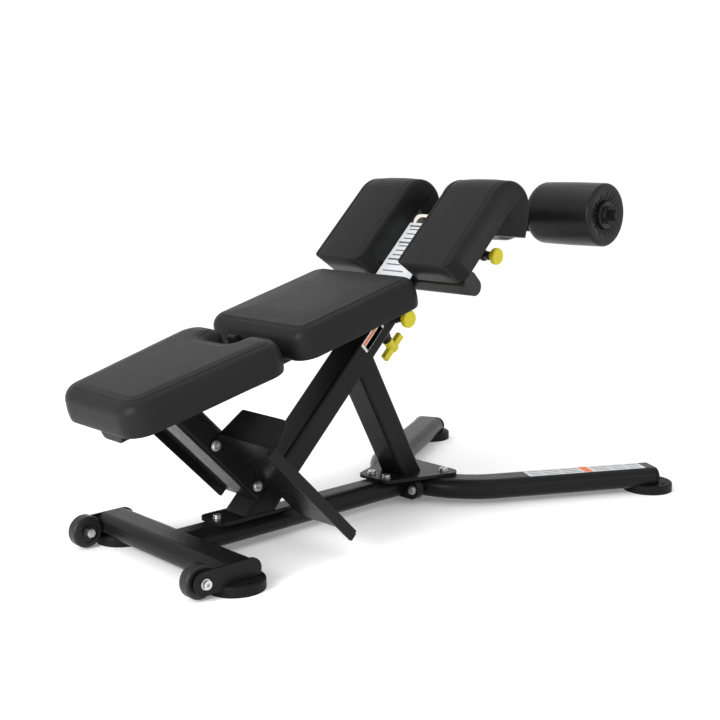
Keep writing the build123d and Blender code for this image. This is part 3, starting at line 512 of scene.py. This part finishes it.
def roller_profile():
    """From the bore at the inner end, over the outside, to the bore at the outer end."""
    flat = ROLLER_RADIUS - INNER_EDGE
    rows = [(17.0, ROLLER_INNER + 3)]
    rows += [(r, ROLLER_INNER + 2 * ((flat - r) / 30) ** 2) for r in range(22, 51, 4)]
    for angle in range(8, 91, 8):
        phi = math.radians(angle)
        rows.append((flat + INNER_EDGE * math.sin(phi), ROLLER_INNER + INNER_EDGE * (1 - math.cos(phi))))
    start, end = ROLLER_INNER + INNER_EDGE, ROLLER_OUTER - OUTER_EDGE
    for step in range(1, 18):
        share = step / 18
        rows.append((ROLLER_RADIUS + 0.9 * math.sin(math.pi * share), start + (end - start) * share))
    for angle in range(90, -1, -9):
        phi = math.radians(angle)
        rows.append((FACE_RADIUS + OUTER_EDGE * math.sin(phi), ROLLER_OUTER - OUTER_EDGE * (1 - math.cos(phi))))
    rows += [(FACE_RADIUS - 1.2, ROLLER_OUTER - 0.9), (FACE_RADIUS - 2.4, ROLLER_OUTER - 0.2)]
    for radius in range(68, 34, -2):
        rows.append((radius, ROLLER_OUTER - 4.0 * ((FACE_RADIUS - radius) / 38) ** 2))
    rows += [(34.4, ROLLER_OUTER - 4.2), (34.0, ROLLER_OUTER - 8), (17.0, ROLLER_OUTER - 8)]
    return rows


def gathered(radius, y, angle):
    """Depth of the radial pleats in the gathered skin round the outer hub; every other pleat is shorter."""
    reach = 62 if math.cos(angle * PLEATS / 2) > 0 else 57
    if y < ROLLER_OUTER - 7 or not 34.2 < radius < reach:
        return 0.0
    share = min(1.0, (reach - radius) / 20)
    fold = abs(math.sin(angle * PLEATS / 2)) ** 0.5
    return 6.5 * share * (1 - fold)


def rollers():
    for side, name in ((1, "left"), (-1, "right")):
        body = "roller_" + name
        foam = lathe("roller_cover_" + name, roller_profile(), side, body, "roller_foam", 288, gathered)
        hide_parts("roller_foam_" + name)
        ring = []
        for step in range(17):
            phi = 2 * math.pi * step / 16
            ring.append((FLANGE_RADIUS - 3.0 + 2.8 * math.cos(phi), ROLLER_OUTER + 0.2 + 2.8 * math.sin(phi)))
        lathe("roller_hub_ring_" + name, ring, side, body, "plastic_black", 96)


# ---- labels -----------------------------------------------------------------------------------------------
def sticker(name, body, origin, right, up, corners, lift, material, slot="placard", thick=0.25):
    """Thin plate with rounded corners on a flat surface; corners are (right, up) in millimetres."""
    out = right.cross(up).normalized()
    loop = rounded_polygon(corners, [3.0] * len(corners), 0, 5, 2)
    rings = []
    for inset, height in ((0, lift), (0, lift + thick * 0.6), (0.3, lift + thick)):
        shape = rounded_polygon(corners, [3.0] * len(corners), inset, 5, 2) if inset else loop
        rings.append([origin + right * (p.x * MM) + up * (p.y * MM) + out * (height * MM) for p in shape])
    points, faces = skin_rings(rings)
    return new_piece(name, points, faces, body, slot, material, smooth=False)


def rectangle(x0, y0, x1, y1):
    return [(x0, y0), (x1, y0), (x1, y1), (x0, y1)]


BEHIND = 0.05
IN_FRONT = 0.32
MAST_HALF_WIDTH = 0.040
LEG_ANGLE = math.radians(28.7)
LEG_LABEL_FROM = Vector((0.6573, -0.3845, 0.0635))
LEG_BARS = ((-330, -300), (-294, -250), (-244, -194), (-158, -112), (-106, -70), (-64, -30))
PLACARD_HEIGHT = 0.0303
PLACARD_PANELS = ((752, 812), (822, 866), (876, 920))


def mast_label():
    """Pale label with an orange band and plain grey bars on the mast's side."""
    face = MAST_ORIGIN - SIDEWAYS * MAST_HALF_WIDTH

    def mark(name, corners, lift, material):
        sticker(name, "frame", face, MAST_ALONG, MAST_ACROSS, corners, lift, material)

    mark("mast_label", rectangle(552, -1, 632, 25), BEHIND, LABEL_PALE)
    mark("mast_label_band", rectangle(558, 15, 612, 22), IN_FRONT, LABEL_ORANGE)
    for row in range(3):
        low = 1.5 + 4.2 * row
        mark(f"mast_label_bar_{row}", rectangle(558, low, 626, low + 1.4), IN_FRONT, LABEL_GREY)


def leg_label():
    """Long pale label with an orange block on top of the near front leg."""
    along = Vector((math.cos(LEG_ANGLE), -math.sin(LEG_ANGLE), 0))
    side = Vector((math.sin(LEG_ANGLE), math.cos(LEG_ANGLE), 0))

    def mark(name, corners, lift, material):
        sticker(name, "frame", LEG_LABEL_FROM, along, side, corners, lift, material)

    mark("leg_label", rectangle(-338, -25, -22, 25), BEHIND, LABEL_PALE)
    mark("leg_label_block", rectangle(-188, -24, -166, 24), IN_FRONT, LABEL_ORANGE)
    for start, end in LEG_BARS:
        for row in range(3):
            low = -17.0 + 14.0 * row
            mark(f"leg_label_bar_{-start}_{row}", rectangle(start, low, end, low + 3.0), IN_FRONT, LABEL_GREY)


def placard_print():
    """Plain frames and bars on the head's placard."""
    face = MAST_ORIGIN + MAST_ACROSS * PLACARD_HEIGHT

    def mark(name, corners):
        sticker(name, "head", face, -SIDEWAYS, MAST_ALONG, corners, 0.02, LABEL_GREY)

    for panel, (low, high) in enumerate(PLACARD_PANELS):
        for row in range(3):
            base = low + (high - low) * row / 3
            mark(f"placard_bar_{panel}_{row}", rectangle(-46, base, 46 - 22 * row, base + 4.0))
        mark(f"placard_rule_{panel}", rectangle(-52, high - 2, 52, high - 1.2))


# ---- studio -----------------------------------------------------------------------------------------------
CAMERA_AT = (-1.8417, -1.936, 0.8325)
CAMERA_AZIMUTH = math.radians(-43.6)
CAMERA_ELEVATION = math.radians(9.9)
CAMERA_LENS = 57.35


def camera():
    data = bpy.data.cameras.new("camera")
    data.lens = CAMERA_LENS
    data.sensor_width = 36
    data.clip_end = 100
    obj = bpy.data.objects.new("camera", data)
    back = Vector((
        math.sin(CAMERA_AZIMUTH) * math.cos(CAMERA_ELEVATION),
        -math.cos(CAMERA_AZIMUTH) * math.cos(CAMERA_ELEVATION),
        math.sin(CAMERA_ELEVATION),
    ))
    obj.location = CAMERA_AT
    obj.rotation_euler = back.to_track_quat("Z", "Y").to_euler()
    bpy.context.scene.collection.objects.link(obj)
    bpy.context.scene.camera = obj


def area_light(name, place, target, size, power):
    data = bpy.data.lights.new(name, "AREA")
    data.shape = "RECTANGLE"
    data.size, data.size_y = size
    data.energy = power
    obj = bpy.data.objects.new(name, data)
    obj.location = place
    obj.rotation_euler = (Vector(place) - Vector(target)).to_track_quat("Z", "Y").to_euler()
    bpy.context.scene.collection.objects.link(obj)


SKY_LOW = 1.05
SKY_TOP = 0.95
FLOOR_HALF = 30.0
FLOOR_GLOW = 0.13
FLOOR_TINT = (0.93, 0.93, 0.93)


def sky(world):
    """White all round the horizon, darker overhead."""
    world.use_nodes = True
    nodes = world.node_tree.nodes
    links = world.node_tree.links
    apart = nodes.new("ShaderNodeSeparateXYZ")
    links.new(nodes.new("ShaderNodeTexCoord").outputs["Generated"], apart.inputs["Vector"])
    fall = nodes.new("ShaderNodeMapRange")
    fall.inputs["From Min"].default_value = 0.17
    fall.inputs["From Max"].default_value = 0.42
    fall.inputs["To Min"].default_value = SKY_LOW
    fall.inputs["To Max"].default_value = SKY_TOP
    links.new(apart.outputs["Z"], fall.inputs["Value"])
    links.new(fall.outputs["Result"], nodes["Background"].inputs["Strength"])
    nodes["Background"].inputs["Color"].default_value = (1, 1, 1, 1)


def floor_plane():
    """White floor that glows a little, so that it matches the sky and keeps only soft shadows."""
    mesh = bpy.data.meshes.new("floor")
    corners = [(x * FLOOR_HALF, y * FLOOR_HALF, 0) for x, y in ((-1, -1), (1, -1), (1, 1), (-1, 1))]
    mesh.from_pydata(corners, [], [(0, 1, 2, 3)])
    floor = bpy.data.objects.new("floor", mesh)
    bpy.context.scene.collection.objects.link(floor)
    surface = Surface("floor_white", FLOOR_TINT, 0.9, specular=0.0)
    surface.shader.inputs["Emission Color"].default_value = (1, 1, 1, 1)
    surface.shader.inputs["Emission Strength"].default_value = FLOOR_GLOW
    mesh.materials.append(surface.material)


def studio():
    world = bpy.data.worlds.new("studio")
    bpy.context.scene.world = world
    sky(world)
    bpy.context.scene.view_settings.view_transform = "Standard"
    area_light("left", (-3.4, -0.4, 1.5), (-0.2, 0, 0.45), (1.2, 1.8), 110)
    area_light("front", (0.8, -3.8, 1.9), (0, 0, 0.4), (2.6, 1.2), 12)
    area_light("overhead", (0.1, 0.6, 3.2), (0, 0, 0.4), (2.6, 2.0), 15)
    floor_plane()


# ---- build ------------------------------------------------------------------------------------------------
camera()
studio()
paint_frame()
seat_pads()
thigh_pads()
rollers()
mast_label()
leg_label()
placard_print()
